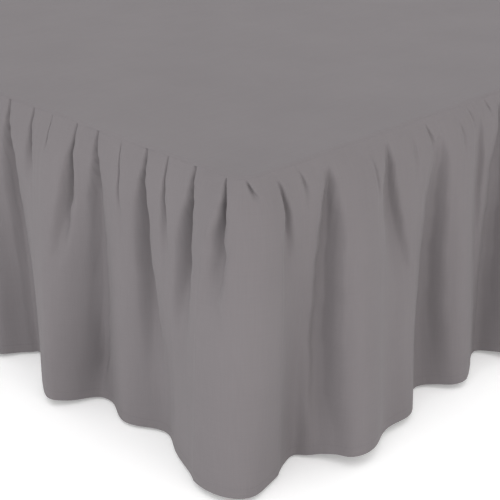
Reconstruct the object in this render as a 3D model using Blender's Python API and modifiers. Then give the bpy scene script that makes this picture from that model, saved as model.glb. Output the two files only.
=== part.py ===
"""Gathered bed skirt on a plain bed base.

The skirt is a flat platform of cloth that lies on the base, with a gathered frill hanging from three of its
edges: the two long sides and the foot. The frill is four equal cut lengths joined end to end. The base is an
upholstered box on six low feet. Metres, +Z up, foot of the bed towards -Y, origin on the floor at the middle
of the footprint.
"""

import math
from collections import namedtuple

import bmesh
import bpy
import numpy as np

# Bed base
BASE_WIDTH = 1.370
BASE_LENGTH = 1.900
BASE_CORNER_RADIUS = 0.0265
BASE_EDGE_RADIUS = 0.010
FOOT_HEIGHT = 0.045
FOOT_TOP_RADIUS = 0.030
FOOT_SOLE_RADIUS = 0.024
FOOT_INSET = 0.130
FOOT_SEGMENTS = 20

# Cloth
CLOTH = 0.0015  # thickness
PIECE_GAP = 0.0003  # between pieces that touch
JOIN_GAP = 0.0010  # between two cut lengths of the frill, whose turned edges lie side by side
SIDE_CLEARANCE = 0.002  # between the hanging cloth and the base
DECK_HEIGHT = 0.400  # floor to the platform's upper face
DECK_EDGE_RADIUS = 0.005  # where the platform turns down to the seam
SEAM_DROP = 0.006  # from the platform's upper face to the seam
HEM_CLEARANCE = 0.003  # floor to the hem of a thread that hangs straight
FRILL_STRIPS = 4

# The platform's outer edge, which the frill hangs from
CORNER_RADIUS = BASE_CORNER_RADIUS + SIDE_CLEARANCE + CLOTH
HALF_WIDTH = BASE_WIDTH / 2 + SIDE_CLEARANCE + CLOTH
FOOT_REACH = 0.084  # how far the frill stands out at the foot
HEAD_Y = (BASE_LENGTH + SIDE_CLEARANCE + CLOTH + FOOT_REACH) / 2
FOOT_Y = HEAD_Y - BASE_LENGTH - SIDE_CLEARANCE - CLOTH

# Stations are distances along that edge, from the head end of the left side, round the foot, to the right side
CORNER_RUN = math.pi / 2 * CORNER_RADIUS
FOOT_RUN = 2 * (HALF_WIDTH - CORNER_RADIUS)
SIDE_RUN = HEAD_Y - FOOT_Y - CORNER_RADIUS
EDGE_LENGTH = 2 * SIDE_RUN + 2 * CORNER_RUN + FOOT_RUN
LEFT_CORNER = SIDE_RUN + CORNER_RUN / 2
RIGHT_CORNER = EDGE_LENGTH - LEFT_CORNER

# The frill's own rule
SEAM_HEIGHT = DECK_HEIGHT - SEAM_DROP - PIECE_GAP
DROP = SEAM_HEIGHT - HEM_CLEARANCE
PUFF = 0.013  # how far the gathers stand out just below the seam
PUFF_RISE = 0.014  # depth below the seam over which they swell
PUFF_LEFT_AT_HEM = 0.2
FOLD_OPENING = 1.6  # how early the folds swing out: the exponent of the drop still to go
TIP_SHARE = 0.30  # a crease's width at the seam, as a share of its full width
TIP_RUN = 0.20  # share of the drop over which a crease opens to its full width
ROUNDING = 0.30  # share of a crease that is a wide shallow hollow
HOLLOW = 0.020  # half width of that hollow
GATHER_PITCH = 0.047
FOLD_PITCH = 0.155

# Rows and columns of the frill's mesh
FINE_ROWS = 40
ROWS = (0, 1, 3, 7, 14, 23, 32, 40)
SHOULDER = 1.2  # a crease's outer columns, in half widths
MOST_SHOULDER = 0.36  # and at most this share of the way to the next crease

# The hem's folds round the right foot corner, from the foot towards the head. Each row is a thread of the cloth:
# its station at the seam and at the hem, measured from the corner, and how far the hem stands out there
HemPoint = namedtuple("HemPoint", "top hem reach")
CORNER_HEM = (
    HemPoint(-0.500, -0.480, 0.074),  # crest
    HemPoint(-0.475, -0.462, 0.042),
    HemPoint(-0.445, -0.438, 0.006),  # valley
    HemPoint(-0.385, -0.352, 0.048),
    HemPoint(-0.345, -0.318, 0.072),  # crest
    HemPoint(-0.305, -0.290, 0.060),
    HemPoint(-0.280, -0.276, 0.030),
    HemPoint(-0.258, -0.254, 0.012),  # valley
    HemPoint(-0.205, -0.190, 0.036),  # crest
    HemPoint(-0.140, -0.134, 0.007),  # valley
    HemPoint(-0.095, -0.091, 0.027),
    HemPoint(-0.050, -0.048, 0.048),
    HemPoint(0.000, -0.003, 0.072),  # crest
    HemPoint(0.035, 0.018, 0.042),
    HemPoint(0.080, 0.060, 0.016),  # valley
    HemPoint(0.140, 0.100, 0.058),
    HemPoint(0.185, 0.141, 0.088),  # crest
    HemPoint(0.240, 0.199, 0.068),  # valley
    HemPoint(0.270, 0.236, 0.074),  # crest
    HemPoint(0.325, 0.310, 0.022),  # valley
    HemPoint(0.385, 0.366, 0.076),  # crest
    HemPoint(0.425, 0.400, 0.048),
    HemPoint(0.460, 0.452, 0.016),  # valley
    HemPoint(0.535, 0.512, 0.080),  # crest
)

# Each gather is a crease that starts at the seam: its station from the right foot corner, the share of the drop
# that it runs down, its half width, the share of the cloth's standing out that it takes back, and how far it
# drifts towards the head by its end
Gather = namedtuple("Gather", "top down half_width depth drift")
CORNER_GATHERS = (
    Gather(-0.454, 1.30, 0.010, 0.90, 0.000),
    Gather(-0.397, 0.28, 0.007, 0.75, 0.000),
    Gather(-0.355, 0.14, 0.005, 0.50, 0.000),
    Gather(-0.301, 0.42, 0.008, 0.80, -0.010),
    Gather(-0.257, 1.30, 0.009, 0.92, 0.000),
    Gather(-0.210, 0.32, 0.005, 0.60, 0.000),
    Gather(-0.162, 0.75, 0.008, 0.88, 0.005),
    Gather(-0.123, 0.34, 0.006, 0.70, 0.000),
    Gather(-0.074, 0.48, 0.008, 0.88, -0.008),
    Gather(-0.022, 0.42, 0.006, 0.85, -0.012),
    Gather(0.012, 0.08, 0.006, 0.70, 0.000),
    Gather(0.049, 0.32, 0.008, 0.75, 0.006),
    Gather(0.080, 0.12, 0.006, 0.55, 0.000),
    Gather(0.143, 1.25, 0.014, 0.90, 0.000),
    Gather(0.199, 0.22, 0.006, 0.60, 0.004),
    Gather(0.242, 0.45, 0.010, 0.80, 0.015),
    Gather(0.290, 0.20, 0.008, 0.40, 0.000),
    Gather(0.338, 1.10, 0.014, 0.88, 0.000),
    Gather(0.390, 0.16, 0.007, 0.40, 0.000),
    Gather(0.440, 0.50, 0.010, 0.65, 0.000),
    Gather(0.497, 1.30, 0.012, 0.90, 0.000),
    Gather(0.550, 0.30, 0.008, 0.65, 0.000),
)


def clear_scene():
    for old in list(bpy.data.objects):
        bpy.data.objects.remove(old, do_unlink=True)


def make_material(name, colour, roughness):
    made = bpy.data.materials.new(name)
    made.use_nodes = True
    shader = made.node_tree.nodes["Principled BSDF"]
    shader.inputs["Base Color"].default_value = (*colour, 1.0)
    shader.inputs["Roughness"].default_value = roughness
    shader.inputs["Metallic"].default_value = 0.0
    made.diffuse_color = (*colour, 1.0)
    return made


def add_object(name, bm, parts, material, place=(0.0, 0.0, 0.0)):
    mesh = bpy.data.meshes.new(name)
    bm.to_mesh(mesh)
    bm.free()
    mesh.materials.append(material)
    made = bpy.data.objects.new(name, mesh)
    made.location = place
    parts.objects.link(made)
    return made


def add_thickness(sheet):
    """Gives an open sheet its cloth's thickness, on the side away from its normals."""
    solidify = sheet.modifiers.new("cloth", "SOLIDIFY")
    solidify.thickness = CLOTH
    solidify.offset = -1.0
    solidify.use_even_offset = True


def smoothstep(x):
    """0 below 0, 1 above 1, and an S between them."""
    x = np.clip(x, 0.0, 1.0)
    return x * x * (3.0 - 2.0 * x)


def monotone(knots, values, at):
    """A smooth curve through the knots that is flat at each crest and valley and never overshoots."""
    step = np.diff(knots)
    slope = np.diff(values) / step
    turning = slope[:-1] * slope[1:]
    total = np.where(turning > 0, slope[:-1] + slope[1:], 1.0)
    inner = np.where(turning > 0, 2.0 * turning / total, 0.0)
    tangent = np.concatenate([slope[:1], inner, slope[-1:]])
    i = np.clip(np.searchsorted(knots, at) - 1, 0, len(knots) - 2)
    x = np.clip((at - knots[i]) / step[i], 0.0, 1.0)
    rise = values[i + 1] - values[i]
    bend = x * (1.0 - x) * (tangent[i] * (1.0 - x) - tangent[i + 1] * x)
    return values[i] + rise * x * x * (3.0 - 2.0 * x) + step[i] * bend


def plain_hem(start, end, rng):
    """Uneven hem folds over a stretch of the edge, a valley and a crest each, with valleys at both ends."""
    count = round((end - start) / FOLD_PITCH)
    valleys = np.linspace(start, end, count + 1)
    valleys[1:-1] += rng.uniform(-0.18, 0.18, count - 1) * FOLD_PITCH
    points = []
    for low, high in zip(valleys[:-1], valleys[1:]):
        crest = low + (high - low) * rng.uniform(0.40, 0.62)
        points.append(HemPoint(low, low + rng.uniform(-0.010, 0.010), rng.uniform(0.008, 0.026)))
        points.append(HemPoint(crest, crest + rng.uniform(-0.012, 0.012), rng.uniform(0.050, 0.082)))
    points[0] = points[0]._replace(hem=start)
    points.append(HemPoint(end, end, points[0].reach))
    return points


def all_hem_points():
    """The hem's folds from the head of the left side to the head of the right side."""
    rng = np.random.default_rng(7)
    corner = [HemPoint(p.top + RIGHT_CORNER, p.hem + RIGHT_CORNER, p.reach) for p in CORNER_HEM]
    left_lobe = HemPoint(LEFT_CORNER, LEFT_CORNER + 0.002, 0.066)
    left_side = plain_hem(0.0, LEFT_CORNER - 0.095, rng)
    foot = plain_hem(LEFT_CORNER + 0.110, corner[0].top - FOLD_PITCH / 3, rng)
    right_side = plain_hem(corner[-1].top + FOLD_PITCH / 2, EDGE_LENGTH, rng)
    return left_side + [left_lobe] + foot + corner + right_side


def all_gathers():
    """Gathers at an uneven pitch, one in three of them long, but for the right foot corner's own list."""
    rng = np.random.default_rng(11)
    first = RIGHT_CORNER + CORNER_GATHERS[0].top
    last = RIGHT_CORNER + CORNER_GATHERS[-1].top
    gathers = [gather._replace(top=gather.top + RIGHT_CORNER) for gather in CORNER_GATHERS]
    for start, end in ((0.0, first), (last, EDGE_LENGTH)):
        count = round((end - start) / GATHER_PITCH)
        for k in range(1, count):
            top = start + (end - start) * (k + rng.uniform(-0.18, 0.18)) / count
            if k % 3 == 0:
                gathers.append(Gather(top, 1.25, rng.uniform(0.009, 0.013), 0.90, 0.0))
            else:
                down = rng.uniform(0.16, 0.50)
                half_width = rng.uniform(0.006, 0.009)
                gathers.append(Gather(top, down, half_width, rng.uniform(0.55, 0.88), rng.uniform(-0.012, 0.012)))
    return sorted(gathers)


def edge_point(station, out):
    """The plan position at a station, standing out from the edge, which is two sides and a foot with round corners."""
    from_middle = station - EDGE_LENGTH / 2
    run = np.abs(from_middle)
    along_foot = np.minimum(run, FOOT_RUN / 2)
    turn = np.clip((run - FOOT_RUN / 2) / CORNER_RADIUS, 0.0, math.pi / 2)
    along_side = np.maximum(run - FOOT_RUN / 2 - CORNER_RUN, 0.0)
    x = np.sign(from_middle) * (along_foot + (CORNER_RADIUS + out) * np.sin(turn))
    y = FOOT_Y + CORNER_RADIUS - (CORNER_RADIUS + out) * np.cos(turn) + along_side
    return x, y


def crease_opening(drops):
    """A crease's width as a share of its full width: a narrow tip at the seam that opens below it."""
    return TIP_SHARE + (1.0 - TIP_SHARE) * smoothstep(drops / TIP_RUN)


def crease_drift(gather, drops):
    return gather.drift * np.minimum(drops / gather.down, 1.0)


def creasing(labels, drops, gathers):
    """How much of the cloth's standing out is taken back: 0 on a bulge, up to the gather's depth in its crease."""
    taken = np.zeros((len(drops), len(labels)))
    for gather in gathers:
        aside = labels[None, :] - gather.top - crease_drift(gather, drops)[:, None]
        fade = 1.0 - smoothstep((drops / gather.down - 0.5) / 0.5)
        narrow = np.exp(-((aside / (gather.half_width * crease_opening(drops)[:, None])) ** 4))
        wide = np.exp(-((aside / HOLLOW) ** 2))
        groove = (1.0 - ROUNDING) * narrow + ROUNDING * wide
        taken = np.maximum(taken, gather.depth * fade[:, None] * groove)
    return taken


def frill_points(labels, hem_points, gathers):
    """The frill's outer face: a row of points for each fine row, a column for each label.

    A label is a vertical thread of the cloth, named by its station at the seam. The thread swings out to its
    place in the hem's folds, keeping its length, and the gathers bulge from it below the seam."""
    drops = np.linspace(0.0, 1.0, FINE_ROWS + 1)
    tops, hems, reaches = np.array(hem_points).T
    hem = monotone(tops, hems, labels)
    reach = monotone(tops, reaches, labels)
    down = drops[:, None]
    station = labels + (hem - labels) * down
    swing = reach * (1.0 - (1.0 - down) ** FOLD_OPENING)
    swell = 1.0 - np.exp(-down * DROP / PUFF_RISE)
    puff = PUFF * swell * (1.0 - (1.0 - PUFF_LEFT_AT_HEM) * smoothstep(down))
    x, y = edge_point(station, (swing + puff) * (1.0 - creasing(labels, drops, gathers)))
    sideways = np.diff(swing, axis=0) ** 2 + np.diff(station, axis=0) ** 2
    fall = np.sqrt((DROP / FINE_ROWS) ** 2 - sideways)
    z = SEAM_HEIGHT - np.vstack([np.zeros(len(labels)), np.cumsum(fall, axis=0)])
    return np.stack([x, y, z], axis=2)


def column_labels(start, end, gathers, drop):
    """One row's columns: a trough and two shoulders at each crease, which they follow, and a crown between two."""
    inside = [gather for gather in gathers if start < gather.top < end]
    troughs = np.array([gather.top + crease_drift(gather, drop) for gather in inside])
    widths = np.array([gather.half_width for gather in inside])
    before = np.diff(troughs, prepend=start)
    after = np.diff(troughs, append=end)
    shoulder = SHOULDER * widths * crease_opening(drop)
    columns = np.concatenate([
        [start, (start + troughs[0]) / 2],
        troughs - np.minimum(shoulder, MOST_SHOULDER * before),
        troughs,
        troughs + np.minimum(shoulder, MOST_SHOULDER * after),
        troughs + after / 2,
        [end],
    ])
    return np.sort(columns)


def make_frill_strip(number, hem_points, gathers, parts, material):
    length = EDGE_LENGTH / FRILL_STRIPS
    start = number * length + (JOIN_GAP / 2 if number > 0 else 0.0)
    end = (number + 1) * length - (JOIN_GAP / 2 if number < FRILL_STRIPS - 1 else 0.0)
    rows = []
    for row in ROWS:
        labels = column_labels(start, end, gathers, np.float64(row / FINE_ROWS))
        rows.append(frill_points(labels, hem_points, gathers)[row])
    across = len(rows[0]) - 1
    down = len(ROWS) - 1
    bm = bmesh.new()
    bmesh.ops.create_grid(bm, x_segments=across, y_segments=down, size=0.5)
    for vert in bm.verts:
        column = round((vert.co.x + 0.5) * across)
        row = round((0.5 - vert.co.y) * down)
        vert.co = rows[row][column]
    strip = add_object(f"frill_strip_{number + 1}", bm, parts, material)
    strip.data.shade_smooth()
    add_thickness(strip)


def make_platform(parts, material):
    """The flat panel: a top and three short turned-down edges, open at the head."""
    bm = bmesh.new()
    bmesh.ops.create_cube(bm, size=1.0)
    for vert in bm.verts:
        vert.co.x *= 2 * HALF_WIDTH
        vert.co.y = HEAD_Y if vert.co.y > 0 else FOOT_Y
        vert.co.z = DECK_HEIGHT if vert.co.z > 0 else DECK_HEIGHT - SEAM_DROP
    open_faces = [face for face in bm.faces if face.normal.z < -0.5 or face.normal.y > 0.5]
    bmesh.ops.delete(bm, geom=open_faces, context="FACES")
    corners = [edge for edge in bm.edges if abs(edge.verts[0].co.z - edge.verts[1].co.z) > SEAM_DROP / 2
               and edge.verts[0].co.y < 0]
    bmesh.ops.bevel(bm, geom=corners, offset=CORNER_RADIUS, segments=5, profile=0.5, affect="EDGES")
    rim = [edge for edge in bm.edges if len(edge.link_faces) == 2
           and min(vert.co.z for vert in edge.verts) > DECK_HEIGHT - SEAM_DROP / 2]
    bmesh.ops.bevel(bm, geom=rim, offset=DECK_EDGE_RADIUS, segments=3, profile=0.5, affect="EDGES")
    platform = add_object("platform", bm, parts, material)
    platform.data.shade_smooth()
    platform.data.set_sharp_from_angle(angle=math.radians(40))
    add_thickness(platform)


def make_base(parts, material):
    """The upholstered box that the skirt hangs on."""
    top = DECK_HEIGHT - CLOTH - PIECE_GAP
    bm = bmesh.new()
    bmesh.ops.create_cube(bm, size=1.0)
    for vert in bm.verts:
        vert.co.x *= BASE_WIDTH
        vert.co.y = HEAD_Y if vert.co.y > 0 else HEAD_Y - BASE_LENGTH
        vert.co.z = top if vert.co.z > 0 else FOOT_HEIGHT
    corners = [edge for edge in bm.edges if abs(edge.verts[0].co.z - edge.verts[1].co.z) > FOOT_HEIGHT]
    bmesh.ops.bevel(bm, geom=corners, offset=BASE_CORNER_RADIUS, segments=5, profile=0.5, affect="EDGES")
    rims = [edge for edge in bm.edges if abs(edge.verts[0].co.z - edge.verts[1].co.z) < FOOT_HEIGHT]
    bmesh.ops.bevel(bm, geom=rims, offset=BASE_EDGE_RADIUS, segments=3, profile=0.5, affect="EDGES")
    box = add_object("base_box", bm, parts, material)
    box.data.shade_smooth()
    box.data.set_sharp_from_angle(angle=math.radians(40))


def make_feet(parts, material):
    """Six low tapered feet under the base, in two rows."""
    height = FOOT_HEIGHT - PIECE_GAP
    middle = HEAD_Y - BASE_LENGTH / 2
    across = BASE_WIDTH / 2 - FOOT_INSET
    along = BASE_LENGTH / 2 - FOOT_INSET
    places = [(x, middle + y) for y in (-along, 0.0, along) for x in (-across, across)]
    for number, (x, y) in enumerate(places, 1):
        bm = bmesh.new()
        bmesh.ops.create_cone(
            bm, cap_ends=True, segments=FOOT_SEGMENTS,
            radius1=FOOT_SOLE_RADIUS, radius2=FOOT_TOP_RADIUS, depth=height,
        )
        foot = add_object(f"base_foot_{number}", bm, parts, material, (x, y, height / 2))
        foot.data.shade_smooth()
        foot.data.set_sharp_from_angle(angle=math.radians(40))


def main():
    clear_scene()
    parts = bpy.data.collections.new("bed_skirt")
    bpy.context.scene.collection.children.link(parts)
    skirt_cloth = make_material("skirt_cloth", (0.245, 0.228, 0.232), 0.85)
    base_cloth = make_material("base_cloth", (0.72, 0.69, 0.63), 0.80)
    foot_wood = make_material("foot_wood", (0.075, 0.050, 0.035), 0.45)
    hem_points = all_hem_points()
    gathers = all_gathers()
    make_platform(parts, skirt_cloth)
    for number in range(FRILL_STRIPS):
        make_frill_strip(number, hem_points, gathers, parts, skirt_cloth)
    make_base(parts, base_cloth)
    make_feet(parts, foot_wood)


main()
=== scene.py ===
"""A gathered bed skirt on a plain bed base, in cloth, wood and light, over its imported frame."""

import math
from collections import namedtuple

import bmesh
import bpy
import numpy as np
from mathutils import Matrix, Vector


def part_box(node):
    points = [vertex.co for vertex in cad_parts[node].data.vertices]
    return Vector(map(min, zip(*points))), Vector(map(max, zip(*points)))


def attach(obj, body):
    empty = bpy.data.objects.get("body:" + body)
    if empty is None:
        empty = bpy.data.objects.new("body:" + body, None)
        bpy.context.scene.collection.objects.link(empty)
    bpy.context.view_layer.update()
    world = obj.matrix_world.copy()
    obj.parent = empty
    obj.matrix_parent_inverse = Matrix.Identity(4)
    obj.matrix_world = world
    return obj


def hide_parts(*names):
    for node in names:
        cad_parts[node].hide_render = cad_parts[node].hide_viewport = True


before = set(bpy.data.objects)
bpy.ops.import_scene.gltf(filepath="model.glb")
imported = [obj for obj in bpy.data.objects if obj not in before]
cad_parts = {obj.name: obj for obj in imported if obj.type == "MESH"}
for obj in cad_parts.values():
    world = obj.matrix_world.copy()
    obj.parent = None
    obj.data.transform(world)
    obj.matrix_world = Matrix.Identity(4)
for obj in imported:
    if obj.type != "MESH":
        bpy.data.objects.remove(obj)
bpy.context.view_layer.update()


# ---------------------------------------------------------------------------------------------------------
# The feet. Six low tapered feet of dark stained beech, screwed into the underside of the base. The skirt
# hides them, so they are plain: open grain under a satin varnish, rubbed pale at the sole.
FEET = [f"base_foot_{number}" for number in range(1, 7)]
STAIN_DARK = (0.030, 0.018, 0.011)
STAIN_LIGHT = (0.115, 0.070, 0.042)
BARE_WOOD = (0.40, 0.28, 0.17)
GRAIN_PER_METRE = 260.0
GRAIN_STRETCH = 0.06
GRAIN_TONES = (0.35, 0.68)
GRAIN_BUMP = (0.0004, 0.6)  # a depth in metres and a strength, as in every bump below
SCUFF_HEIGHT = 0.003
SCUFFS_PER_METRE = 400.0
WORN_SHARE = 0.8
SATIN_ROUGHNESS = 0.42
VARNISH = 0.35
VARNISH_ROUGHNESS = 0.3


def new_material(name, roughness):
    """A material of this roughness, with its node tree and its principled shader."""
    made = bpy.data.materials.new(name)
    made.use_nodes = True
    tree = made.node_tree
    shader = tree.nodes["Principled BSDF"]
    shader.inputs["Roughness"].default_value = roughness
    return made, tree, shader


def calculate(tree, operation, first, second=0.0):
    """One Math node on two values, each a number or a socket, and the socket of its result."""
    node = tree.nodes.new("ShaderNodeMath")
    node.operation = operation
    for socket, value in zip(node.inputs, (first, second)):
        if isinstance(value, (int, float)):
            socket.default_value = value
        else:
            tree.links.new(value, socket)
    return node.outputs[0]


def split(tree, coordinates):
    """The X, Y and Z of some coordinates."""
    node = tree.nodes.new("ShaderNodeSeparateXYZ")
    tree.links.new(coordinates, node.inputs["Vector"])
    return node.outputs


def stretched(tree, coordinates, scale):
    """Coordinates times a scale for each axis."""
    mapping = tree.nodes.new("ShaderNodeMapping")
    mapping.inputs["Scale"].default_value = scale
    tree.links.new(coordinates, mapping.inputs["Vector"])
    return mapping.outputs["Vector"]


def noise(tree, coordinates, scale, detail=2.0, roughness=0.5):
    """Noise between 0 and 1 at so many cells a metre."""
    node = tree.nodes.new("ShaderNodeTexNoise")
    node.inputs["Scale"].default_value = scale
    node.inputs["Detail"].default_value = detail
    node.inputs["Roughness"].default_value = roughness
    tree.links.new(coordinates, node.inputs["Vector"])
    return node.outputs["Fac"]


def ramp(tree, value, low, high, start=0.0, end=1.0):
    """Goes straight from start to end while the value goes from low to high, and stays there."""
    node = tree.nodes.new("ShaderNodeMapRange")
    node.inputs["From Min"].default_value = low
    node.inputs["From Max"].default_value = high
    node.inputs["To Min"].default_value = start
    node.inputs["To Max"].default_value = end
    tree.links.new(value, node.inputs["Value"])
    return node.outputs["Result"]


def blend_colours(tree, share, first, second):
    """A colour between two, each a constant or a socket."""
    node = tree.nodes.new("ShaderNodeMix")
    node.data_type = "RGBA"
    tree.links.new(share, node.inputs["Factor"])
    for name, colour in (("A", first), ("B", second)):
        socket = next(s for s in node.inputs if s.name == name and s.type == "RGBA")
        if isinstance(colour, tuple):
            socket.default_value = (*colour, 1.0)
        else:
            tree.links.new(colour, socket)
    return next(s for s in node.outputs if s.type == "RGBA")


def bump(tree, height, distance, strength, under=None):
    """Bump of a height from 0 to 1, so many metres deep, on top of another bump."""
    node = tree.nodes.new("ShaderNodeBump")
    node.inputs["Distance"].default_value = distance
    node.inputs["Strength"].default_value = strength
    tree.links.new(height, node.inputs["Height"])
    if under is not None:
        tree.links.new(under, node.inputs["Normal"])
    return node.outputs["Normal"]


def stained_wood():
    """Dark beech whose grain is drawn out along the foot, under a satin varnish, with bare wood where the
    sole is scuffed."""
    made, tree, shader = new_material("stained_wood", SATIN_ROUGHNESS)
    place = tree.nodes.new("ShaderNodeTexCoord").outputs["Object"]
    drawn_out = stretched(tree, place, (1.0, 1.0, GRAIN_STRETCH))
    grain = noise(tree, drawn_out, GRAIN_PER_METRE, detail=6.0, roughness=0.65)
    stain = blend_colours(tree, ramp(tree, grain, *GRAIN_TONES), STAIN_DARK, STAIN_LIGHT)
    scuffs = noise(tree, place, SCUFFS_PER_METRE, detail=3.0)
    lowered = calculate(tree, "MULTIPLY", scuffs, -2 * SCUFF_HEIGHT)
    edge = calculate(tree, "ADD", split(tree, place)["Z"], lowered)
    worn = ramp(tree, edge, -SCUFF_HEIGHT, SCUFF_HEIGHT / 3, WORN_SHARE, 0.0)
    tree.links.new(blend_colours(tree, worn, stain, BARE_WOOD), shader.inputs["Base Color"])
    shader.inputs["Coat Weight"].default_value = VARNISH
    shader.inputs["Coat Roughness"].default_value = VARNISH_ROUGHNESS
    tree.links.new(bump(tree, grain, *GRAIN_BUMP), shader.inputs["Normal"])
    return made


foot_finish = stained_wood()
for foot in FEET:
    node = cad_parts[foot]
    node.data.materials.clear()
    node.data.materials.append(foot_finish)


# ---------------------------------------------------------------------------------------------------------
# The base. A plain upholstered box: a frame in a cream woven cover, drawn a little tighter at its edges
# than at mid height and tacked on underneath, with dark dust cloth over the opening.
BASE_LOW, BASE_HIGH = (np.array(corner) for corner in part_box("base_box"))
BASE_CORNER = 0.0265
BASE_EDGE = 0.010
BASE_FLAT_INSET = 0.014
BASE_DRAWN_IN = 0.0012
BASE_COLOUR = (0.63, 0.595, 0.53)
BASE_SHADE = (0.55, 0.515, 0.455)
DUST_CLOTH = (0.020, 0.020, 0.022)
BASE_STATIONS = 480
BASE_LEAST_RADIUS = 0.0005
BASE_ARC_SHARE = 0.16
BASE_EDGE_RINGS = 7
BASE_SIDE_RINGS = 14
BASE_FLAT_RINGS = (0.0, 0.35, 0.7, 0.9)
MERGE_DISTANCE = 1e-6
BASE_THREADS_PER_METRE = 1100.0
BASE_WEAVE_BUMP = (0.00025, 0.6)
BASE_SLUBS_PER_METRE = 90.0
BASE_SLUB_STRETCH = 12.0
BASE_TONES = (0.35, 0.7)
BASE_HOLLOWS_PER_METRE = 9.0
BASE_HOLLOW_BUMP = (0.004, 0.5)
DUST_CLOTH_EDGE = (0.0004, 0.0010)
BASE_ROUGHNESS = 0.85
BASE_SPECULAR = 0.25
BASE_SHEEN = 0.15
BASE_SHEEN_ROUGHNESS = 0.5


def rounded_box_path(low, high, radius, inset, count):
    """A closed path round a box in plan, inset from its sides, with round corners.

    Each quarter of its points goes from the middle of one side to the middle of the next: a straight run, a
    quarter arc of the radius left after the inset, and a straight run."""
    share = (np.arange(count) + 0.5) / count * 4
    quarter = np.floor(share)
    part = share - quarter
    size = high[:2] - low[:2]
    middle = (high[:2] + low[:2]) / 2
    left = max(radius - inset, BASE_LEAST_RADIUS)
    reach = size / 2 - inset - left
    straight = 0.5 - BASE_ARC_SHARE
    turn = np.clip((part - straight) / (2 * BASE_ARC_SHARE), 0.0, 1.0) * math.pi / 2
    before = np.clip(part / straight, 0.0, 1.0)
    after = np.clip((1.0 - part) / straight, 0.0, 1.0)
    x = reach[0] * after + left * np.cos(turn)
    y = reach[1] * before + left * np.sin(turn)
    swapped_x = reach[0] * before + left * np.sin(turn)
    swapped_y = reach[1] * after + left * np.cos(turn)
    even = quarter % 2 == 0
    px = np.where(even, x, swapped_x)
    py = np.where(even, y, swapped_y)
    sign_x = np.where((quarter == 0) | (quarter == 3), 1.0, -1.0)
    sign_y = np.where(quarter < 2, 1.0, -1.0)
    return np.stack([middle[0] + sign_x * px, middle[1] + sign_y * py], axis=1)


def add_piece(name, mesh, material, slot, *nodes):
    """A finished piece at the origin, riding on the one body and standing for its nodes."""
    mesh.materials.append(material)
    made = bpy.data.objects.new(name, mesh)
    bpy.context.scene.collection.objects.link(made)
    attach(made, "root")
    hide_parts(*nodes)
    return made


def grid_mesh(name, points, closed=False, uvs=None):
    """A mesh of quads through rows and columns of points, whose last column meets the first if it is closed.

    Each UV map holds a pair of values for each point."""
    rows, columns = points.shape[:2]
    index = np.arange(rows * columns).reshape(rows, columns)
    if closed:
        index = np.concatenate([index, index[:, :1]], axis=1)
    quads = np.stack([index[:-1, :-1], index[1:, :-1], index[1:, 1:], index[:-1, 1:]], axis=2).reshape(-1, 4)
    mesh = bpy.data.meshes.new(name)
    mesh.vertices.add(rows * columns)
    mesh.vertices.foreach_set("co", points.reshape(-1).astype(np.float32))
    mesh.loops.add(quads.size)
    mesh.loops.foreach_set("vertex_index", quads.reshape(-1).astype(np.int32))
    mesh.polygons.add(len(quads))
    mesh.polygons.foreach_set("loop_start", np.arange(0, quads.size, 4, dtype=np.int32))
    mesh.polygons.foreach_set("use_smooth", np.ones(len(quads), dtype=bool))
    for uv_name, values in (uvs or {}).items():
        layer = mesh.uv_layers.new(name=uv_name)
        layer.data.foreach_set("uv", values.reshape(-1, 2)[quads.reshape(-1)].reshape(-1).astype(np.float32))
    mesh.update(calc_edges=True)
    return mesh


def base_surface():
    """The box's skin as a profile carried round its plan.

    The profile runs from the middle of the top to the middle of the underside: inset from the side, depth
    below the top, and how much of its size the ring keeps. A quarter arc rounds each edge, and the side is
    drawn in as the square of the distance from mid height."""
    height = BASE_HIGH[2] - BASE_LOW[2]
    arc = np.linspace(0.0, math.pi / 2, BASE_EDGE_RINGS)
    side = np.linspace(0.0, 1.0, BASE_SIDE_RINGS + 2)[1:-1]
    top = [(BASE_FLAT_INSET, 0.0, kept) for kept in BASE_FLAT_RINGS]
    top_arc = [(BASE_EDGE * (1 - math.sin(a)), BASE_EDGE * (1 - math.cos(a)), 1.0) for a in arc]
    wall = [
        (BASE_DRAWN_IN * (2 * v - 1) ** 2, BASE_EDGE + v * (height - 2 * BASE_EDGE), 1.0)
        for v in side
    ]
    low_arc = [(BASE_EDGE * (1 - math.cos(a)), height - BASE_EDGE * (1 - math.sin(a)), 1.0) for a in arc]
    under = [(BASE_FLAT_INSET, height, kept) for kept in reversed(BASE_FLAT_RINGS)]
    profile = top + top_arc + wall + low_arc + under
    middle = (BASE_HIGH[:2] + BASE_LOW[:2]) / 2
    rings = []
    for inset, down, kept in profile:
        ring = rounded_box_path(BASE_LOW, BASE_HIGH, BASE_CORNER, inset, BASE_STATIONS)
        ring = middle + (ring - middle) * kept
        rings.append(np.column_stack([ring, np.full(BASE_STATIONS, BASE_HIGH[2] - down)]))
    return np.array(rings)


def closed_poles(mesh):
    """The mesh with each ring that has shrunk to a point made one vertex."""
    built = bmesh.new()
    built.from_mesh(mesh)
    bmesh.ops.remove_doubles(built, verts=built.verts, dist=MERGE_DISTANCE)
    built.to_mesh(mesh)
    built.free()
    return mesh


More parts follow.
